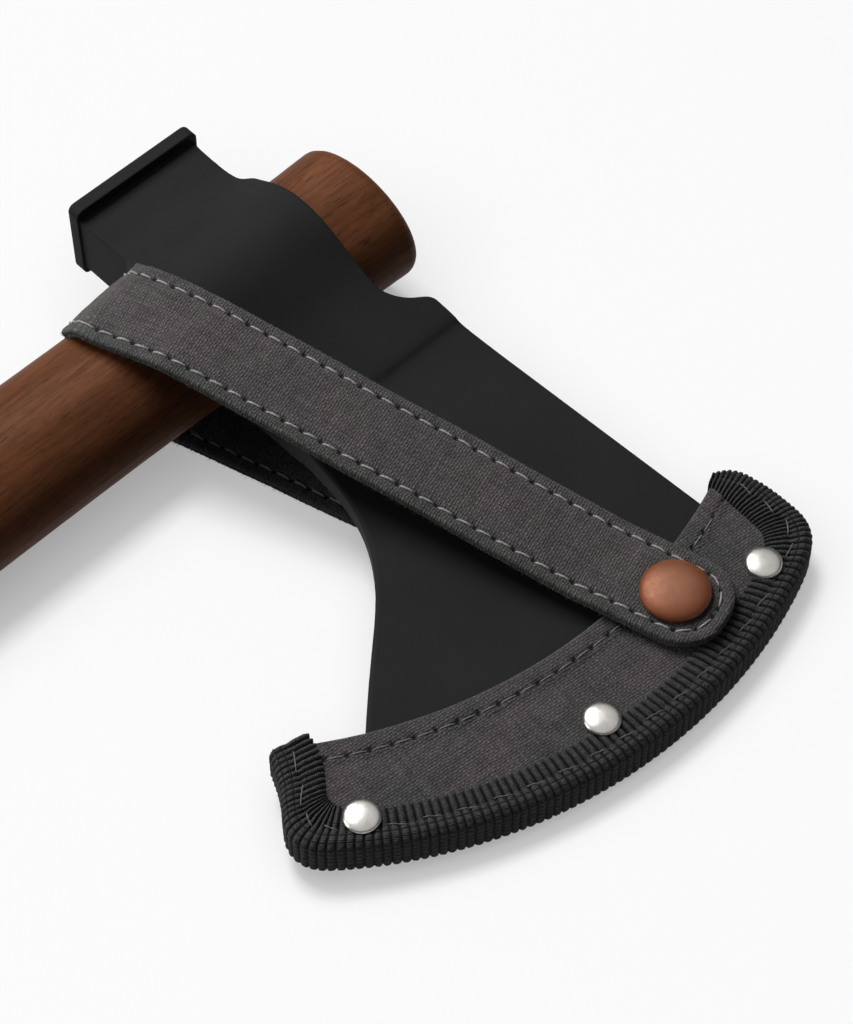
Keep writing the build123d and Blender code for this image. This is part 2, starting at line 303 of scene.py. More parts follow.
def canvas(name, light, dark, green, border):
    """Waxed canvas: an uneven plain weave, mottled wax, greener past its border, painted shade in the
    weave's hollows, and a soft sheen.
    """
    made = Nodes(name, 0.88)
    uv = made.weave_uv()
    where = made.position()
    wander = made.noise(uv, 380.0, 2.0).node.outputs["Color"]
    shift = made.vector("MULTIPLY", wander, (0.0011, 0.0011, 0.0))
    weave = weave_height(made, made.vector("ADD", uv, shift))
    slubs = made.noise(made.stretch(uv, (150.0, 1300.0, 1.0)), 1.0, 2.0)
    slivers = made.noise(made.stretch(uv, (1300.0, 150.0, 1.0)), 1.0, 2.0)
    uneven = made.math("ADD", slubs, slivers)
    fibre = made.noise(where, 3000.0, 3.0, 0.7)
    blotch = made.range(made.noise(where, 60.0, 3.0), 0.42, 0.62, 0.0, 0.55)
    _, across = split_uv(made, uv)
    edge = made.range(made.math("ABSOLUTE", across), border - 0.0012, border + 0.0006, 0.0, 0.85)
    ground = made.mix(made.math("MAXIMUM", blotch, edge), light, green)
    worn = made.fade(uneven, 0.75, 1.25, ground, dark, 0.55, 0.0)
    speckled = made.fade(fibre, 0.3, 0.62, worn, dark, 0.45, 0.0)
    # Painted shade: the weave's hollows darken towards the dark colour, and its raised threads keep the
    # lighter one.
    made.put("Base Color", made.fade(weave, 0.05, 0.75, speckled, dark, 0.62, 0.0))
    relief = made.math("MULTIPLY_ADD", weave, 1.0, made.math("MULTIPLY", uneven, 0.5))
    rough = made.math("MULTIPLY_ADD", fibre, 0.45, relief)
    made.put("Normal", made.bump(rough, 0.00030, 0.8))
    made.put("Sheen Weight", 0.12)
    made.put("Sheen Roughness", 0.5)
    made.put("Specular IOR Level", 0.12)
    return made.material


def from_middle(made, length, pitch):
    """How far off the middle of its rib or block a place is, 0 to 1."""
    share = made.math("FRACT", made.math("DIVIDE", length, pitch * MM))
    return made.math("ABSOLUTE", made.math("MULTIPLY_ADD", share, 2.0, -1.0))


def ribbed_tape():
    """Black grosgrain: the ribs are mesh, painted shade makes the grooves between them and the lines between
    the blocks near-black, and the threads along them are bump.
    """
    made = Nodes("binding_black", 0.75)
    along, across = split_uv(made, made.weave_uv())
    off, turn = from_middle(made, along, RIB), from_middle(made, across, BLOCK)
    beyond = made.range(across, TAPE_SEAM * MM, (TAPE_SEAM + 1.0) * MM, 0.0, 1.0)
    # Painted shade: the grooves between the ribs, and the lines between the blocks past the seam, go
    # near-black.
    gap = made.range(off, 0.45, 0.88, 0.0, 1.0)
    line = made.math("MULTIPLY", made.range(turn, 0.62, 0.95, 0.0, 0.85), beyond)
    fibre = made.noise(made.position(), 2600.0, 3.0, 0.65)
    top = made.fade(fibre, 0.3, 0.72, (0.012, 0.013, 0.013), (0.092, 0.094, 0.092))
    made.put("Base Color", made.mix(made.math("MAXIMUM", gap, line), top, (0.002, 0.002, 0.002)))
    wave = made.math("SINE", made.math("MULTIPLY", across, math.pi / (TAPE_THREAD * MM)))
    relief = made.math("MULTIPLY_ADD", made.math("ABSOLUTE", wave), 0.5, fibre)
    made.put("Normal", made.bump(relief, 0.00026, 1.0))
    made.put("Sheen Weight", 0.05)
    made.put("Specular IOR Level", 0.15)
    return made.material


def thread(name, colour):
    """Sewing thread with a fine twist."""
    made = Nodes(name, 0.6)
    twist = made.noise(made.position(), 2500.0, 2.0)
    dim = tuple(c * 0.45 for c in colour)
    made.put("Base Color", made.fade(twist, 0.35, 0.65, dim, colour))
    made.put("Normal", made.bump(twist, 0.00008, 0.6))
    made.put("Specular IOR Level", 0.2)
    return made.material


def stained_wood():
    """Dark red-brown stained wood with short fine pores along the grain and an oiled surface."""
    made = Nodes("stained_wood", 0.5)
    where = made.position()
    bend = made.noise(made.stretch(where, (14.0, 5.0, 14.0)), 2.0, 3.0).node.outputs["Color"]
    bent = made.vector("ADD", where, made.vector("MULTIPLY", bend, (0.005, 0.0, 0.005)))
    grain = made.noise(made.stretch(bent, (900.0, 60.0, 900.0)), 1.0, 5.0, 0.6)
    pores = made.noise(made.stretch(bent, (2600.0, 240.0, 2600.0)), 1.0, 3.0, 0.6)
    figure = made.noise(made.stretch(bent, (120.0, 22.0, 120.0)), 1.0, 4.0, 0.55)
    base = made.fade(figure, 0.35, 0.65, (0.113, 0.038, 0.014), (0.165, 0.060, 0.026))
    streaked = made.fade(grain, 0.40, 0.66, base, (0.058, 0.019, 0.007), 0.0, 0.55)
    made.put("Base Color", made.fade(pores, 0.56, 0.70, streaked, (0.026, 0.010, 0.005), 0.0, 0.8))
    made.put("Roughness", made.range(grain, 0.3, 0.7, 0.46, 0.58))
    made.put("Normal", made.bump(made.math("MULTIPLY_ADD", pores, -1.2, grain), 0.00006, 0.6))
    made.put("Specular IOR Level", 0.08)
    return made.material


def coated_steel():
    """Matte black coating over forged steel; the ground edge is bare."""
    made = Nodes("coated_steel", 0.6)
    where = made.position()
    fine = made.noise(where, 2100.0, 4.0, 0.65)
    broad = made.noise(where, 38.0, 4.0, 0.55)
    away = made.vector("SUBTRACT", where, row_point(*EDGE_CENTRE, 0))
    reach = made.vector("LENGTH", made.vector("MULTIPLY", away, (1.0, 1.0, 0.0)))
    bare = made.range(reach, GRIND_START * MM, (GRIND_START + 0.7) * MM, 0.0, 1.0)
    brushed = made.noise(made.stretch(where, (1800.0, 1800.0, 60.0)), 1.0, 3.0)
    black = made.fade(broad, 0.35, 0.7, (0.0110, 0.0112, 0.0118), (0.0146, 0.0149, 0.0154))
    dusted = made.fade(fine, 0.45, 0.72, black, (0.023, 0.023, 0.024), 0.0, 0.5)
    bare_steel = made.fade(brushed, 0.3, 0.7, (0.32, 0.32, 0.33), (0.5, 0.5, 0.5))
    made.put("Base Color", made.mix(bare, dusted, bare_steel))
    made.put("Metallic", bare)
    satin = made.range(fine, 0.3, 0.7, 0.66, 0.78)
    made.put("Roughness", made.math("MULTIPLY_ADD", bare, -0.36, satin))
    rounded = made.add("ShaderNodeBevel", {"Radius": 0.0008}, samples=6)
    made.put("Normal", made.bump(fine, 0.00007, 0.5, rounded))
    made.put("Specular IOR Level", 0.12)
    return made.material


def nickel_plate():
    """Polished nickel with faint handling marks."""
    made = Nodes("polished_nickel", 0.29, 1.0)
    where = made.position()
    cloud = made.noise(where, 220.0, 3.0)
    made.put("Base Color", made.fade(cloud, 0.35, 0.65, (0.58, 0.555, 0.52), (0.70, 0.67, 0.63)))
    made.put("Roughness", made.range(made.noise(where, 900.0, 4.0), 0.3, 0.7, 0.2465, 0.348))
    made.put("Normal", made.bump(made.noise(where, 700.0, 2.0), 0.00003, 0.10))
    return made.material


def satin_copper():
    """Lacquered copper with a cloudy tone, paler at the crown, with painted shade that makes it deeper
    towards the rim, where the dome turns from the light.
    """
    made = Nodes("satin_copper", 0.5, 0.35)
    where = made.position()
    crown = row_point(*SNAP, STRAP_ON_SNAP + STRAP_HALF_THICK)
    # Painted shade: the cap's colour darkens from 4.6 to 7.4 mm out from its crown.
    rim = made.range(made.vector("DISTANCE", where, crown), 4.6 * MM, 7.4 * MM, 0.0, 1.0)
    cloud = made.noise(where, 260.0, 4.0)
    cloudy_copper = made.fade(cloud, 0.35, 0.65, (0.240, 0.088, 0.042), (0.290, 0.112, 0.058))
    made.put("Base Color", made.mix(rim, cloudy_copper, (0.205, 0.055, 0.016)))
    made.put("Roughness", made.range(made.noise(where, 900.0, 4.0), 0.3, 0.7, 0.44, 0.58))
    made.put("Normal", made.bump(made.noise(where, 600.0, 3.0), 0.00003, 0.15))
    return made.material


def leather():
    """The dark, pebbled welt between the panels."""
    made = Nodes("guard_leather", 0.7)
    pebble = made.noise(made.position(), 900.0, 4.0)
    made.put("Base Color", made.fade(pebble, 0.3, 0.7, (0.02, 0.015, 0.012), (0.06, 0.045, 0.035)))
    made.put("Normal", made.bump(pebble, 0.0002, 0.7))
    return made.material


strap_canvas = canvas(
    "strap_canvas", (0.192, 0.169, 0.172), (0.018, 0.016, 0.016), (0.142, 0.146, 0.140), 9.0 * MM
)
# The panels have no greener border, so theirs lies a metre out
sheath_canvas = canvas(
    "sheath_canvas", (0.176, 0.155, 0.158), (0.016, 0.015, 0.015), (0.108, 0.115, 0.110), 1.0
)
tape_black = ribbed_tape()
light_thread = thread("light_thread", (0.43, 0.39, 0.40))
dark_thread = thread("dark_thread", (0.23, 0.22, 0.222))
grey_thread = thread("grey_thread", (0.17, 0.17, 0.17))
# Near-black painted shade for the needle holes' cups
hole_shade = thread("needle_hole", (0.002, 0.002, 0.002))
nickel = nickel_plate()
copper = satin_copper()
wood = stained_wood()
steel = coated_steel()
welt = leather()

# ------------------------------------------------------------------ strap
STITCH_PITCH = 4.8
STITCH_INSET = 2.9
FIRST_HOLE = 1.2
PIT_DEPTH, PIT_REACH = 0.55, 0.50
# The tip's corner radius, the straight half between its corners, and the seam round a corner
TIP_ROUND = 10.4
TIP_FLAT = STRAP_HALF_WIDTH - TIP_ROUND
SEAM_ROUND = TIP_ROUND - STITCH_INSET
SEAM_QUARTER = SEAM_ROUND * math.pi / 2
# The snap's place along the strap, the height of the eye's middle over the table, and that of the back strap
SNAP_S = 12.5
REST_HEIGHT = 20.95
LYING = STRAP_HALF_THICK + 0.05


def beside_snap(along, aside, angle):
    """Plan place at a distance from the snap along a direction, and to the side of it."""
    cos, sin = math.cos(angle), math.sin(angle)
    return SNAP[0] + along * cos - aside * sin, SNAP[1] + along * sin + aside * cos


def strap_centreline():
    """The strap's middle, from its tip over the eye, behind the handle and back under the sheath."""
    over_sheath = [(SNAP_S, STRAP_ON_SNAP), (-19.0, STRAP_ON_SNAP), (-72.0, 13.9)]
    over_eye = [(-120.0, STRAP_OVER_EYE), (-131.0, 18.9), (-141.9, 17.4)]
    line = [(*beside_snap(along, 0, STRAP_ANGLE), height) for along, height in over_sheath + over_eye]
    # Down the handle's rear, which the strap touches, and under it
    line += [
        (-13.9, -27.8, 11.2), (-16.7, -26.2, 7.2), (-18.4, -24.9, 3.2), (-18.8, -24.2, 0.0),
        (-18.4, -23.6, -3.2), (-16.7, -23.2, -7.2), (-13.4, -22.9, -12.0), (-10.3, -22.9, -18.9),
    ]
    cos, sin = math.cos(LEAN), math.sin(LEAN)
    for along, height in ((-115.0, LYING), (-32.0, LYING), (-12.0, 3.4), (0.0, 2.8)):
        x, y = beside_snap(along, BACK_SHIFT, BACK_STRAP_ANGLE)
        line.append((x * cos - height * sin, y, -REST_HEIGHT + x * sin + height * cos))
    return smooth_line(line, 1.5, 0.2)


class Ribbon:
    """The strap as a surface: places on it by length along it, offset across it and height."""

    def __init__(self, line):
        self.line = line
        self.step = float(gaps(line).mean())
        self.length = self.step * (len(line) - 1)
        tangent = unit(np.gradient(line, axis=0))
        ruling = np.array((math.sin(WRAP_TILT), -math.cos(WRAP_TILT), 0.0))
        normal = unit(np.cross(tangent, ruling))
        side = np.cross(normal, tangent)
        # Past the eye its near edge sinks to the handle, and it folds along the ruling
        past_eye = np.clip((ROLL_START - line[:, :1]) / ROLL_SPAN, 0, 1)
        past_eye = past_eye**2 * (3 - 2 * past_eye)
        outbound = -tangent[:, :2] @ (math.cos(STRAP_ANGLE), math.sin(STRAP_ANGLE))
        roll = STRAP_ROLL * past_eye * np.clip(outbound, 0, 1)[:, None] ** 2
        self.normal = np.cos(roll) * normal + np.sin(roll) * side
        self.side = np.cos(roll) * side - np.sin(roll) * normal
        self.tangent = tangent
        self.slant = np.tan(np.arcsin(tangent @ ruling))[:, None] * past_eye

    def pick(self, table, s):
        at = np.clip(np.asarray(s, float) / self.step, 0, len(table) - 1)
        low = np.minimum(at.astype(int), len(table) - 2)
        share = (at - low)[..., None]
        return table[low] * (1 - share) + table[low + 1] * share

    def foot(self, s, w):
        """Length where the fold's ruling through a point meets the strap's middle."""
        return np.asarray(s, float) - np.asarray(w, float) * self.pick(self.slant, s)[..., 0]

    def place(self, s, w, h):
        at, slant = self.foot(s, w), self.pick(self.slant, s)
        w, h = np.asarray(w, float)[..., None], np.asarray(h, float)[..., None]
        across = self.pick(self.side, at) + slant * self.pick(self.tangent, at)
        return self.pick(self.line, at) + w * across + h * self.pick(self.normal, at)

    def where(self, test):
        """The first length along the strap where a test of its middle holds."""
        return next(k for k, p in enumerate(self.line) if test(p)) * self.step


strap = Ribbon(strap_centreline())
# Where its three lengths meet: behind the handle, and past the bend under it
REAR_S = strap.where(lambda p: p[2] < 0 and p[0] < -10)
WRAP_LOW_S = strap.where(lambda p: p[2] < -10 and p[0] > 9)


def strap_half_width(s):
    """Half the strap's width, which its rounded tip narrows."""
    inside = np.clip(TIP_ROUND - np.asarray(s, float), 0, TIP_ROUND)
    return TIP_FLAT + np.sqrt(np.maximum(TIP_ROUND**2 - inside**2, 0))


def strap_edge_distance(s, w):
    """Distance from a point on the strap to its nearest cut edge."""
    s, w = np.asarray(s, float), np.abs(np.asarray(w, float))
    plain = np.minimum(STRAP_HALF_WIDTH - w, s)
    corner = TIP_ROUND - np.hypot(TIP_ROUND - s, w - TIP_FLAT)
    rounded = (s < TIP_ROUND) & (w > TIP_FLAT)
    return np.minimum(np.where(rounded, corner, plain), strap.length - s)


def strap_seam_length(s, w):
    """Length along the nearer seam, from the middle of the tip, beside a point on the strap."""
    s, w = np.asarray(s, float), np.abs(np.asarray(w, float))
    turned = np.arctan2(np.maximum(w - TIP_FLAT, 0), np.maximum(TIP_ROUND - s, 1e-6))
    straight = TIP_FLAT + SEAM_QUARTER + s - TIP_ROUND
    return np.where(s > TIP_ROUND, straight, np.where(w > TIP_FLAT, TIP_FLAT + SEAM_ROUND * turned, w))


def needle_pit(aside, along, pitch, first):
    """Depth of the dent that a seam's needle holes leave beside its line."""
    off = (along - first + pitch / 2) % pitch - pitch / 2
    return PIT_DEPTH * np.exp(-(aside**2 + off**2) / PIT_REACH**2)


def strap_height(s, w, face, pitted=True):
    """Half thickness on one face: rolled edges, sewn channels, a soft middle and the snap's dent."""
    s, w = np.asarray(s, float), np.asarray(w, float)
    inward = np.maximum(strap_edge_distance(s, w), 0)
    along = strap_seam_length(s, w)
    roll = np.sqrt(1 - (1 - np.clip(inward / 0.7, 0, 1)) ** 2)
    pinch = 0.75 + 0.25 * np.cos(2 * math.pi * (along - FIRST_HOLE) / STITCH_PITCH)
    channel = 0.36 * pinch * np.exp(-(((inward - STITCH_INSET) / 0.6) ** 2))
    if pitted:
        channel = channel + needle_pit(inward - STITCH_INSET, along, STITCH_PITCH, FIRST_HOLE)
    middle = 0.22 * np.clip((inward - 3.2) / 3.5, 0, 1) ** 0.7
    height = (STRAP_HALF_THICK - 0.10) * roll + middle - channel
    height = height + 0.05 * np.cos(2 * math.pi * s / WEAVE) * np.cos(2 * math.pi * w / WEAVE)
    if face > 0:
        from_snap = np.hypot(s - SNAP_S, w)
        height -= 0.42 * np.exp(-((from_snap / 8.6) ** 10))
    return height


def strap_wander(s, w):
    """How far the cloth strays at a place: sideways, and outward."""
    aside = 0.25 * noise.noise(Vector((s * 0.05, 8.0, 0))) * abs(w) / STRAP_HALF_WIDTH
    return w + aside, 0.14 * noise.noise(Vector((s * 0.11, w * 0.16, 3.0)))


# The strap's rolled edge as (distance in, half thickness), and where its mesh columns lie, in from the edge
EDGE_ROLL = [(0.34, 1.16), (0.10, 0.98), (0.0, 0.66), (0.08, 0.30), (0.42, 0.03)]
EDGE_COLUMNS = [0.7, 1.2, 1.8, 2.3, 2.6, 2.9, 3.2, 3.5, 4.0, 4.8]


def strap_mesh(name, s_start, s_end):
    """A closed length of the strap."""
    tip = [0.01, 0.06, 0.16, 0.32, 0.55]
    tail = strap.length - np.array([0.7, 0.4, 0.15, 0.02])
    rows = np.r_[tip, np.arange(0.8, 12, 0.4), np.arange(12, strap.length - 0.9, 0.31), tail]
    rows = rows[(rows >= s_start) & (rows <= s_end)]
    rows = np.unique(np.r_[max(s_start, rows[0]), rows, min(s_end, strap.length)])
    grid = []
    for s in rows:
        half = float(strap_half_width(s))
        scale = min(1.0, half / 5.4)
        ends = math.sqrt(1 - (1 - min(1.0, s / 0.6, (strap.length - s) / 0.6)) ** 2)
        inner = half - EDGE_COLUMNS[-1] * scale
        outer = [half - e * scale for e in EDGE_COLUMNS]
        across = np.r_[[-w for w in outer], np.linspace(-inner, inner, 15)[1:-1], outer[::-1]]
        edge_w = np.array([half - e * scale for e, _ in EDGE_ROLL])
        edge_h = np.array([h * ends for _, h in EDGE_ROLL])
        edge_w, edge_h = np.r_[edge_w, edge_w[-2::-1]], np.r_[edge_h, -edge_h[-2::-1]]
        top, bottom = strap_height(s, across, 1), -strap_height(s, across, -1)
        w = np.r_[across, edge_w, across[::-1], -edge_w]
        grid.append((np.full(len(w), s), w, np.r_[top, edge_h, bottom[::-1], -edge_h]))
    s, w, h = (np.array(part) for part in zip(*grid))
    for k in np.ndindex(s.shape):
        spot = Vector((s[k] * 1.1, w[k] * 1.1, h[k] * 0.6))
        fray = 0.22 if STRAP_HALF_WIDTH - abs(w[k]) < 0.6 else 0.04
        w[k], lift = strap_wander(s[k], w[k])
        h[k] += lift + 0.04 * noise.noise(spot)
        w[k] += fray * noise.noise(spot * 1.7 + Vector((9, 4, 1)))
    count, cols = s.shape
    faces = [f[::-1] for f in grid_faces(count, cols, closed=True)]
    faces.append(tuple(range(cols)))
    faces.append(tuple(range((count - 1) * cols, count * cols))[::-1])
    return make_piece(name, strap.place(s, w, h), faces, strap_canvas, np.stack([s, w + h * 0.8], -1))


def tubes(name, paths, radius, material, sides=6, taper=0.45):
    """Short round threads along paths given in the head's frame, thinner towards their ends."""
    points, faces = [], []
    for path in paths:
        path = np.asarray(path, float)
        tangent = unit(np.gradient(path, axis=0))
        first = unit(np.cross(tangent, (0.13, 0.27, 0.95)))
        second = np.cross(tangent, first)
        start, rings = len(points), len(path)
        for k in range(rings):
            end = min(k, rings - 1 - k) / (rings - 1) * 2
            size = radius * (taper + (1 - taper) * min(1.0, end * 2.4))
            for j in range(sides):
                angle = 2 * math.pi * j / sides
                points.append(path[k] + size * (math.cos(angle) * first[k] + math.sin(angle) * second[k]))
        faces += grid_faces(rings, sides, True, start)
        faces.append(tuple(range(start, start + sides))[::-1])
        faces.append(tuple(range(len(points) - sides, len(points))))
    return make_piece(name, points, faces, material)


def cups(name, spots, material, radius=0.52, sides=12):
    """Painted shade of the needle holes: near-black cups in the pits, each with a centre and three
    directions.
    """
    points, faces = [], []
    for centre, along, across, out in spots:
        start = len(points)
        for share, depth in ((1.0, -0.06), (0.8, -0.11), (0.45, -0.21)):
            for j in range(sides):
                angle = 2 * math.pi * j / sides
                spread = radius * share * (math.cos(angle) * along * 1.15 + math.sin(angle) * across * 0.9)
                points.append(centre + spread + out * depth)
        points.append(centre - out * 0.27)
        faces += grid_faces(3, sides, True, start)
        ring, last = start + 2 * sides, start + 3 * sides
        faces += [(ring + j, ring + (j + 1) % sides, last) for j in range(sides)]
    return make_piece(name, points, faces, material)


def arch(share, power):
    """Rise of a stitch from end to end, 0 to 1 and back."""
    return math.sin(share * math.pi) ** power


def strap_seams(label, s_start, s_end):
    """Stitches and needle holes of one length of strap, on both faces."""
    threads, holes = [], []

    def seam(k, row):
        """Place of the seam k mm along from the tip's middle, on row -1 or 1."""
        if k < TIP_FLAT:
            return STITCH_INSET, row * k
        if k < TIP_FLAT + SEAM_QUARTER:
            angle = (k - TIP_FLAT) / SEAM_ROUND
            return TIP_ROUND - SEAM_ROUND * math.cos(angle), row * (TIP_FLAT + SEAM_ROUND * math.sin(angle))
        return TIP_ROUND + (k - TIP_FLAT - SEAM_QUARTER), row * (STRAP_HALF_WIDTH - STITCH_INSET)

    count = int((strap.length - 6.0 - STITCH_INSET) / STITCH_PITCH)
    for face, row, n in itertools.product((1, -1), (-1, 1), range(count)):
        k = n * STITCH_PITCH + FIRST_HOLE
        if not s_start <= seam(k + STITCH_PITCH / 2, row)[0] < s_end:
            continue
        jitter = 0.16 * noise.noise(Vector((n * 1.7, row * 3.1, face)))
        path = []
        for share in np.arange(9) / 8:
            s, w = seam(k + 0.62 + share * (STITCH_PITCH - 1.0), row)
            w, stray = strap_wander(s, w)
            lift = float(strap_height(s, w, face, False)) - 0.30 + 0.50 * arch(share, 0.35)
            slant = (share - 0.5) * 0.22 + jitter
            path.append(strap.place(s, w + slant * row, face * lift + stray))
        threads.append(path)
        s, w = seam(k, row)
        w, stray = strap_wander(s, w)
        foot = strap.foot(s, w)
        out, side = face * strap.pick(strap.normal, foot), strap.pick(strap.side, foot)
        rise = face * float(strap_height(s, w, face, False)) + stray
        holes.append((strap.place(s, w, rise), np.cross(side, out), side, out))
    return [
        tubes("strap_stitches_" + label, threads, 0.27, light_thread),
        cups("strap_needle_holes_" + label, holes, hole_shade),
    ]


def loose_fibres(name, s_start, s_end, per_mm, seed):
    """Fluff on the strap's raw edges."""
    rng = np.random.default_rng(seed)
    points, faces = [], []
    for n in range(int((s_end - s_start) * per_mm)):
        s = rng.uniform(s_start, s_end)
        row = rng.choice((-1, 1))
        half = float(strap_half_width(s))
        base = strap.place(s, row * (half - 0.12), rng.uniform(-1.1, 1.1))
        out, up = row * strap.pick(strap.side, s), strap.pick(strap.normal, s)
        along = np.cross(out, up)
        lean = along * rng.uniform(-0.9, 0.9) + up * rng.uniform(-0.7, 0.7)
        reach = rng.uniform(0.35, 1.1)
        tip = base + (out + lean * 0.8) * reach
        middle = base + (out * 0.55 + lean * 0.2) * reach
        wide, deep = along * 0.035, up * 0.035
        start = len(points)
        for place, size in ((base, 1.0), (middle, 0.8)):
            points += [place + wide * size, place + deep * size, place - wide * size, place - deep * size]
        points.append(tip)
        for j in range(4):
            k = (j + 1) % 4
            faces.append((start + 4 + j, start + 4 + k, start + k, start + j))
            faces.append((start + 8, start + 4 + k, start + 4 + j))
        faces.append((start, start + 1, start + 2, start + 3))
    return make_piece(name, points, faces, strap_canvas)


STRAP_SPANS = {"front": (0, REAR_S), "wrap": (REAR_S, WRAP_LOW_S), "back": (WRAP_LOW_S, strap.length)}
strap_pieces = {label: [strap_mesh("strap_" + label, *span)] for label, span in STRAP_SPANS.items()}
for label, pieces in strap_pieces.items():
    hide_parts(f"strap_{label}_inner", f"strap_{label}_outer")
    pieces += strap_seams(label, *STRAP_SPANS[label])
strap_pieces["front"].append(loose_fibres("strap_fluff_front", 1.0, REAR_S, 7.0, 5))
strap_pieces["wrap"].append(loose_fibres("strap_fluff_wrap", REAR_S, WRAP_LOW_S, 7.0, 6))
strap_pieces["back"].append(loose_fibres("strap_fluff_back", WRAP_LOW_S, strap.length - 1, 5.0, 7))

for piece in strap_pieces["front"]:
    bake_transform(piece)
for piece in strap_pieces["wrap"]:
    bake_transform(piece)
for piece in strap_pieces["back"]:
    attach(piece, "sheath")

# ------------------------------------------------------------------ sheath panels
# The hem's seam: its distance in from the mouth, its pitch and its first hole
HEM = 4.6
HEM_PITCH, HEM_START = 4.7, 10.5
# Height where the panel's rolled edge ends, and the angle at which its canvas was cut
PANEL_CUT = 3.45
CANVAS_TURN = math.radians(8)
# Where the panel's mesh columns lie, in from its mouth
PANEL_COLUMNS = [
    0.0, 0.06, 0.16, 0.32, 0.55, 0.8, 1.1, 1.6, 2.2, 2.9, 3.5, 3.9, 4.2, 4.45, 4.7, 5.0, 5.4, 5.9, 6.5,
]


def arc_through(first, middle, last, count):
    """Points on the circle through three points."""
    (ax, ay), (bx, by), (cx, cy) = first, middle, last
    d = 2 * (ax * (by - cy) + bx * (cy - ay) + cx * (ay - by))
    ox = ((ax**2 + ay**2) * (by - cy) + (bx**2 + by**2) * (cy - ay) + (cx**2 + cy**2) * (ay - by)) / d
    oy = ((ax**2 + ay**2) * (cx - bx) + (bx**2 + by**2) * (ax - cx) + (cx**2 + cy**2) * (bx - ax)) / d
    radius = math.hypot(ax - ox, ay - oy)
    low, high = math.atan2(ay - oy, ax - ox), math.atan2(cy - oy, cx - ox)
    return [(ox + radius * math.cos(t), oy + radius * math.sin(t)) for t in np.linspace(low, high, count)]


mouth_arc = arc_through((99.7, -67.5), (118.8, -5.4), (112.0, 37.0), 60)
mouth_line = smooth_line([(94.2, -75.4), (97.6, -70.6), *mouth_arc, (111.2, 41.0), (112.6, 43.6)], 0.8, 0.25)
outer_arc = [edge_polar(OUTER_R - 2.2, a) for a in np.linspace(-39, 24.5, 50)]
outer_line = smooth_line([(107.6, -82.6), (113.4, -84.2), *outer_arc], 0.8, 0.25)


def panel_rise(inward, along, pitted=True):
    """Height of a panel over its flat face: a rolled, sewn hem at the mouth and a soft middle."""
    roll = np.sqrt(1 - (1 - np.clip(inward / 1.0, 0, 1)) ** 2)
    hem = 0.62 * np.clip((HEM + 1.6 - inward) / 1.4, 0, 1)
    pinch = 0.8 + 0.2 * np.cos(2 * math.pi * (along - HEM_START) / HEM_PITCH)
    channel = 0.42 * pinch * np.exp(-(((inward - HEM) / 0.5) ** 2))
    middle = 0.35 * np.clip((inward - HEM) / 6, 0, 1)
    if pitted:
        channel = channel + needle_pit(inward - HEM, along, HEM_PITCH, HEM_START)
    return (PANEL_TOP - PANEL_CUT + hem) * roll + PANEL_CUT - PANEL_TOP - channel + middle


def panel_mesh(name, face):
    """A sheath panel, from its hemmed mouth to under the tape."""
    count = 420
    mouth, outer = resample(mouth_line, count), resample(outer_line, count)
    spans = np.linalg.norm(outer - mouth, axis=1)
    step = gaps(mouth).mean()
    grid = []
    for k in range(count):
        direction = (outer[k] - mouth[k]) / spans[k]
        reach = [*PANEL_COLUMNS, *np.linspace(7.2, max(spans[k], 8.5), 24)]
        row = []
        for e in reach:
            x, y = mouth[k] + direction * e
            rise = float(panel_rise(e, k * step))
            rise += 0.10 * noise.noise(Vector((x * 0.3, y * 0.3, 2.0 * face)))
            rise += 0.05 * noise.noise(Vector((x * 1.3, y * 1.3, 5.0)))
            row.append((x, y, face * (PANEL_TOP + rise)))
        for e in (reach[-1], 1.2, 0.5, 0.12):
            x, y = mouth[k] + direction * e
            row.append((x, y, face * (PANEL_UNDER + (0.25 if e < 1 else 0.0))))
        grid.append(row)
    cols = len(grid[0])
    faces = grid_faces(count, cols, closed=True)
    faces.append(tuple(range(cols))[::-1])
    faces.append(tuple(range((count - 1) * cols, count * cols)))
    if face < 0:
        faces = [f[::-1] for f in faces]
    x, y = np.array(grid)[..., 0], np.array(grid)[..., 1]
    cos, sin = math.cos(CANVAS_TURN), math.sin(CANVAS_TURN)
    return make_piece(name, grid, faces, sheath_canvas, np.stack([x * cos - y * sin, x * sin + y * cos], -1))


def hem_seam(label, face):
    """The hem's stitches and needle holes."""
    mouth, outer = resample(mouth_line, 900), resample(outer_line, 900)
    seam = mouth + unit(outer - mouth) * HEM
    step = gaps(mouth).mean()
    out = np.array([0, 0, face], float)
    threads, holes = [], []

    def spot(length, height):
        k = min(max(int(round(length / step)), 0), len(seam) - 1)
        return np.array([*seam[k], face * height])

    for n in range(int((step * 899 - HEM_START - 9.0) / HEM_PITCH)):
        start = HEM_START + n * HEM_PITCH
        rise = PANEL_TOP + float(panel_rise(HEM, start, False))
        threads.append([
            spot(start + 0.4 + share * (HEM_PITCH - 0.8), rise - 0.14 + 0.42 * arch(share, 0.5))
            for share in np.arange(7) / 6
        ])
        hole = spot(start, rise)
        ahead = unit(spot(start + 1, rise) - hole)
        holes.append((hole, ahead, np.cross(out, ahead), out))
    return [
        tubes("hem_stitches_" + label, threads, 0.22, dark_thread),
        cups("hem_needle_holes_" + label, holes, hole_shade),
    ]


panel_front = panel_mesh("panel_front", 1)
panel_back = panel_mesh("panel_back", -1)
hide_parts("sheath_front_panel")
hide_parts("sheath_back_panel")
for piece in (panel_front, panel_back, *hem_seam("front", 1), *hem_seam("back", -1)):
    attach(piece, "sheath")

# ------------------------------------------------------------------ binding tape
TAPE_TOP = PANEL_TOP + TAPE
TAPE_ROUND = 2.0
TAPE_UNDER = PANEL_TOP - 0.5, 0.5 - PANEL_TOP
# How far the ribs' feet lie under the tape's face, and the ribs' pitch where they draw together at its ends
RIB_SINK = 0.38
END_RIB = 1.3

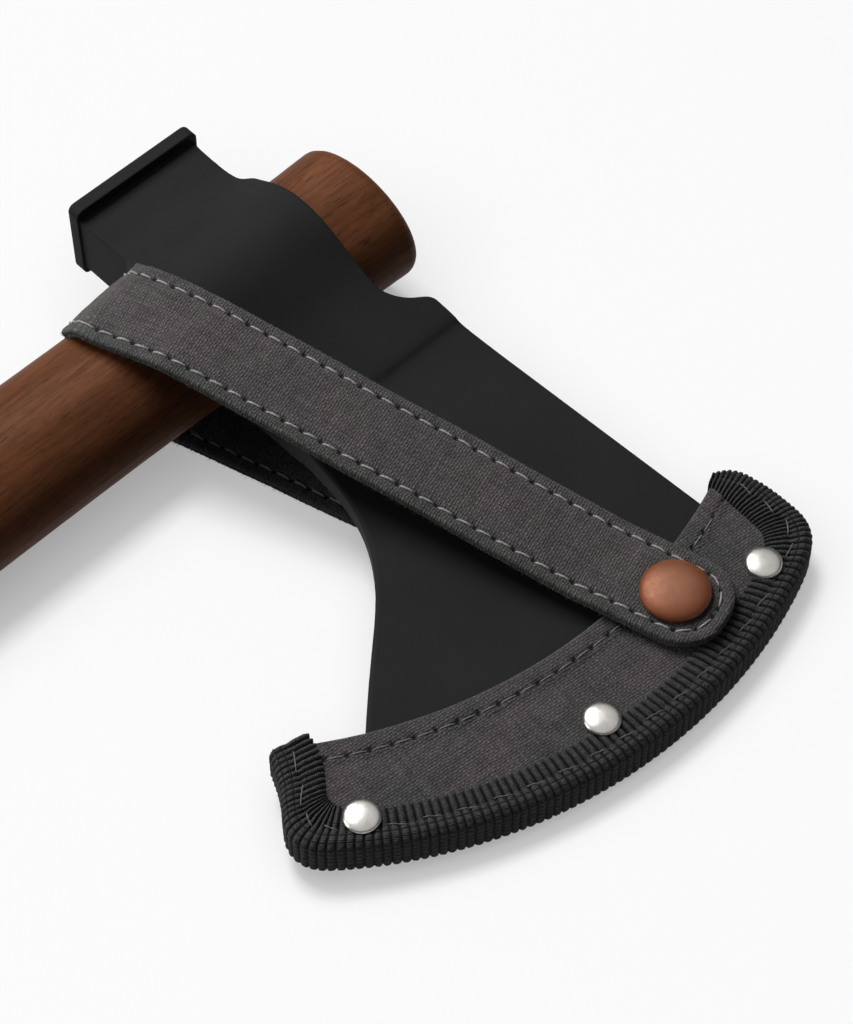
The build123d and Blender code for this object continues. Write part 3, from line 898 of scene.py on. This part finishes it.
# Matching stretches of the tape's outer edge and of its inner edge
TAPE_STRETCHES = [
    (
        [(94.6, -76.6), (98.6, -78.4), (102.8, -80.7), (107.2, -84.4)],
        [(96.6, -68.0), (99.6, -68.2), (104.4, -70.6), (110.6, -75.6)],
    ),
    (
        [(107.2, -84.4), (110.3, -86.6), (113.7, -87.0), (117.2, -85.9), (119.9, -83.1)],
        [(110.6, -75.6), (113.6, -75.4)],
    ),
    (
        [edge_polar(OUTER_R, a) for a in np.linspace(-40, -33.5, 8)],
        [(113.6, -75.4), (121.0, -67.5)],
    ),
    (
        [edge_polar(OUTER_R, a) for a in np.linspace(-33.5, 20.5, 50)],
        [edge_polar(OUTER_R - FLANGE, a) for a in np.linspace(-33.5, 19.5, 50)],
    ),
    (
        [edge_polar(OUTER_R, a) for a in np.linspace(20.5, 23.5, 5)] + [(135.0, 45.2), (131.5, 46.8)],
        [edge_polar(OUTER_R - FLANGE, a) for a in np.linspace(19.5, 20.8, 4)] + [(128.0, 36.9)],
    ),
    (
        [(131.5, 46.8), (122.0, 46.9), (114.0, 45.6), (110.9, 43.2), (110.0, 40.2)],
        [(128.0, 36.9), (119.5, 37.3), (114.2, 37.6), (112.6, 37.6), (111.5, 37.2)],
    ),
]


def tape_edges(step=0.21, sigma=1.9):
    """The tape's outer and inner edges as matched lines, with rounded corners."""
    edges = [], []
    for stretch in TAPE_STRETCHES:
        count = max(int(gaps(stretch[0]).sum() / step), 3)
        for edge, line in zip(edges, stretch):
            edge.append(resample(line, count + 1)[:-1])
    return [soften(np.vstack(edge), sigma, step) for edge in edges]


tape_outer, tape_inner = tape_edges()
tape_span = np.linalg.norm(tape_outer - tape_inner, axis=1)
tape_outward = unit(tape_outer - tape_inner)
tape_length = lengths_along(tape_outer)
from_ends = np.minimum(tape_length - 15.0, tape_length[-1] - 27.0 - tape_length)
rib_pitch = END_RIB + (RIB - END_RIB) * np.clip(from_ends / 5.0, 0, 1)
rib_wobble = np.array([0.5 * noise.noise(Vector((t * 0.23, 0, 7))) for t in tape_length])
rib_phase = np.cumsum(np.r_[0, np.diff(tape_length)] / rib_pitch) + 0.25 * rib_wobble


def rib_height(phase, cross):
    """Rounded ribs across the tape, apart at its inner side and in blocks where it turns over the edge."""
    off = np.abs(2 * (phase - np.floor(phase)) - 1)
    beyond = min(max((cross - TAPE_SEAM) / 1.0, 0), 1)
    wide = 0.80 + 0.14 * beyond
    hump = np.sqrt(np.maximum(1 - (off / wide) ** 2, 0))
    block = abs(2 * (cross / BLOCK - math.floor(cross / BLOCK)) - 1)
    beads = 1 - beyond * 0.42 * (1 - math.sqrt(max(1 - block**4, 0)))
    return (0.62 + 0.12 * (1 - beyond)) * hump * beads


def tape_section():
    """Stations across the tape: share from inner edge to outer, height, outward turn and length across."""
    flat, side = FLANGE - TAPE_ROUND, TAPE_TOP - TAPE_ROUND
    front = [(e / FLANGE, TAPE_TOP, 0.0, e) for e in np.arange(0, flat + 0.01, 0.3)]
    for angle in np.arange(1, 10) / 9 * math.pi / 2:
        share = (flat + TAPE_ROUND * math.sin(angle)) / FLANGE
        front.append((share, side + TAPE_ROUND * math.cos(angle), angle, flat + TAPE_ROUND * angle))
    steps = 24
    down = [2 * side * k / steps for k in range(1, steps)]
    edge = [(1.0, side - d, math.pi / 2, flat + TAPE_ROUND * math.pi / 2 + d) for d in down]
    back = [(share, -height, math.pi - turn, cross) for share, height, turn, cross in front[::-1]]
    return front + edge + back


def tape_mesh():
    """The ribbed tape, its inner edges scalloped and sunk into the panels."""
    stations = tape_section()
    grid = []
    for share, height, turn, cross in stations:
        rib = rib_height(rib_phase, cross)
        seam = 0.42 * math.exp(-(((cross - TAPE_SEAM) / 0.8) ** 2))
        scallop = 0.5 * (rib / 0.7 - 0.6) * max(0.0, 1 - cross / 1.3)
        fuzz = np.array([0.13 * noise.noise(Vector((t * 2.1, cross * 1.3, 4.0))) for t in tape_length])
        rise = rib - RIB_SINK - seam - 0.45 * max(0.0, 1 - cross / 0.9) + fuzz
        plan = tape_inner + (tape_outer - tape_inner) * share
        plan = plan + tape_outward * (math.sin(turn) * rise - scallop)[:, None]
        grid.append(np.c_[plan, height + math.cos(turn) * rise])
    under = [np.c_[edge[:, :2], np.full(len(edge), z)] for edge, z in zip((grid[0], grid[-1]), TAPE_UNDER)]
    rows, cols = len(grid) + 2, len(rib_phase)
    faces = [f[::-1] for f in grid_faces(rows, cols)]
    faces.append(tuple(range(0, rows * cols, cols))[::-1])
    faces.append(tuple(range(cols - 1, rows * cols, cols)))
    crosses = np.array([station[3] for station in (stations[0], *stations, stations[-1])])
    uvs = np.stack(np.broadcast_arrays(rib_phase[None, :] * RIB, crosses[:, None]), -1)
    return make_piece("binding_cover", [under[0], *grid, under[1]], faces, tape_black, uvs)


def tape_seam(label, face):
    """Long grey stitches that bind the tape, sunk between its ribs."""
    threads = []
    pitch = 4 * RIB
    for n in range(int((tape_length[-1] - 6) / pitch)):
        wander = 0.5 * noise.noise(Vector((n * 0.9, face, 1.0)))
        path = []
        for share in np.arange(13) / 12:
            t = 2.2 + n * pitch + share * (pitch * 0.66)
            k = min(int(np.searchsorted(tape_length, t)), len(tape_length) - 1)
            across = TAPE_SEAM + wander + (share - 0.5) * 0.9
            x, y = tape_inner[k] + tape_outward[k] * across * tape_span[k] / FLANGE
            rib = float(rib_height(rib_phase[k], TAPE_SEAM))
            lift = TAPE_TOP + 0.3 * rib - RIB_SINK - 0.25 + 0.42 * arch(share, 0.4)
            path.append((x, y, face * lift))
        threads.append(path)
    return tubes("binding_stitches_" + label, threads, 0.17, grey_thread)


binding = tape_mesh()
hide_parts("binding_tape")
for piece in (binding, tape_seam("front", 1), tape_seam("back", -1)):
    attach(piece, "sheath")

# ------------------------------------------------------------------ rivets and snap
RIVET_DOME = [
    (2.6, -1.0), (3.55, -0.95), (3.7, -0.15), (3.95, 0.0), (4.10, 0.22), (4.12, 0.45), (4.02, 0.70),
    (3.72, 1.0), (3.2, 1.27), (2.5, 1.48), (1.7, 1.61), (0.9, 1.68),
]
SNAP_DOME = [
    (6.6, -0.1), (7.25, 0.0), (7.6, 0.25), (7.75, 0.7), (7.7, 1.15), (7.45, 1.6), (7.0, 1.98), (6.3, 2.36),
    (5.4, 2.68), (4.4, 2.94), (3.3, 3.14), (2.2, 3.28), (1.1, 3.36),
]
for label, node, sign in (("front", "rivet_caps", 1), ("back", "rivet_back_caps", -1)):
    places = [(x, y, sign * TAPE_TOP) for x, y in RIVETS]
    domes = join("rivet_domes_" + label, [lathe("dome", RIVET_DOME, p, nickel, sign=sign) for p in places])
    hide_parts(node)
    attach(domes, "sheath")
cap = lathe("snap_cap_dome", SNAP_DOME, (*SNAP, STRAP_ON_SNAP + STRAP_HALF_THICK), copper, turns=72)
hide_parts("snap_cap")
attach(cap, "strap_front")

# ------------------------------------------------------------------ CAD nodes that stay
FINISH = {
    "head": steel,
    "handle": wood,
    "edge_guard": welt,
    "rivet_posts": nickel,
    "snap_stud": nickel,
    "snap_stud_rivet": nickel,
    "snap_socket": nickel,
    "snap_cap_post": nickel,
}
for name, material in FINISH.items():
    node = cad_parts[name]
    if not node.material_slots:
        node.data.materials.append(material)
    for slot in node.material_slots:
        slot.material = material

# ------------------------------------------------------------------ floor, light and camera
# What the camera looks at, where it stands, and which way the picture's right lies in the head's plane
TARGET = Vector(row_point(71.755, -9.530, 0))
CAMERA = Vector(row_point(353.804, -280.952, 580.326))
PICTURE_RIGHT = math.radians(46.1)

# A pale table. It takes its own light, so its shadows stay close to the object.
floor_material = Nodes("studio_floor", 0.95)
floor_material.put("Base Color", (0.66, 0.66, 0.665, 1.0))
floor_material.put("Specular IOR Level", 0.0)
floor_material.put("Emission Color", (1.0, 1.0, 1.0, 1.0))
floor_material.put("Emission Strength", 0.325)
bpy.ops.mesh.primitive_plane_add(size=12, location=(0, 0, -0.0004))
floor = bpy.context.object
floor.name = "floor"
floor.data.materials.append(floor_material.material)
floor.visible_diffuse = False


def studio_world(diffuse, glossy):
    """A plain room: dim for diffuse light, with bright walls and ceiling in reflections."""
    world = bpy.data.worlds.new("studio")
    world.use_nodes = True
    tree = world.node_tree
    background = tree.nodes["Background"]
    apart = tree.nodes.new("ShaderNodeSeparateXYZ")
    tree.links.new(tree.nodes.new("ShaderNodeTexCoord").outputs["Generated"], apart.inputs[0])
    ramp = tree.nodes.new("ShaderNodeMapRange")
    ramp.interpolation_type = "SMOOTHSTEP"
    for socket, value in (("From Min", 0.28), ("From Max", 0.75), ("To Min", 0.04), ("To Max", glossy)):
        ramp.inputs[socket].default_value = value
    tree.links.new(apart.outputs["Z"], ramp.inputs["Value"])
    pick = tree.nodes.new("ShaderNodeMix")
    pick.inputs[2].default_value = diffuse
    tree.links.new(tree.nodes.new("ShaderNodeLightPath").outputs["Is Glossy Ray"], pick.inputs[0])
    tree.links.new(ramp.outputs["Result"], pick.inputs[3])
    tree.links.new(pick.outputs[0], background.inputs["Strength"])
    background.inputs["Color"].default_value = (0.98, 0.985, 1.0, 1.0)
    return world


bpy.context.scene.world = studio_world(0.09, 0.72)
bpy.context.scene.view_settings.view_transform = "Standard"


def soft_light(name, azimuth, elevation, distance, size, power, on_floor):
    """A square area light aimed at the object, which lights either the floor or all but the floor."""
    lamp = bpy.data.lights.new(name, "AREA")
    lamp.size = size
    lamp.energy = power
    made = bpy.data.objects.new(name, lamp)
    azimuth, elevation = math.radians(azimuth), math.radians(elevation)
    level = Vector((math.cos(azimuth), math.sin(azimuth), 0)) * math.cos(elevation)
    toward = level + Vector((0, 0, math.sin(elevation)))
    made.location = TARGET + toward * distance
    made.rotation_euler = (-toward).to_track_quat("-Z", "Y").to_euler()
    bpy.context.scene.collection.objects.link(made)
    receivers = bpy.data.collections.new(name + "_receivers")
    receivers.objects.link(floor)
    made.light_linking.receiver_collection = receivers
    receivers.collection_objects[0].light_linking.link_state = "INCLUDE" if on_floor else "EXCLUDE"


soft_light("key", 182, 56, 1.2, 0.7, 15.0, False)
soft_light("front_fill", 238, 20, 1.3, 0.7, 4.5, False)
soft_light("table_light", 178, 79, 2.0, 0.6, 19.5, True)
soft_light("table_fill", 285, 74, 2.0, 3.0, 30.0, True)

lens = bpy.data.cameras.new("camera")
lens.lens = 112.7
lens.sensor_fit = "VERTICAL"
lens.sensor_height = 36.0
lens.clip_start = 0.01
camera = bpy.data.objects.new("camera", lens)
bpy.context.scene.collection.objects.link(camera)
back = (CAMERA - TARGET).normalized()
side = HEAD.to_3x3() @ Vector((math.cos(PICTURE_RIGHT), math.sin(PICTURE_RIGHT), 0))
axes = Matrix((side, back.cross(side).normalized(), back)).transposed()
camera.matrix_world = Matrix.Translation(CAMERA) @ axes.to_4x4()
bpy.context.scene.camera = camera


def plain(box):
    return [[float(v) for v in corner] for corner in box]
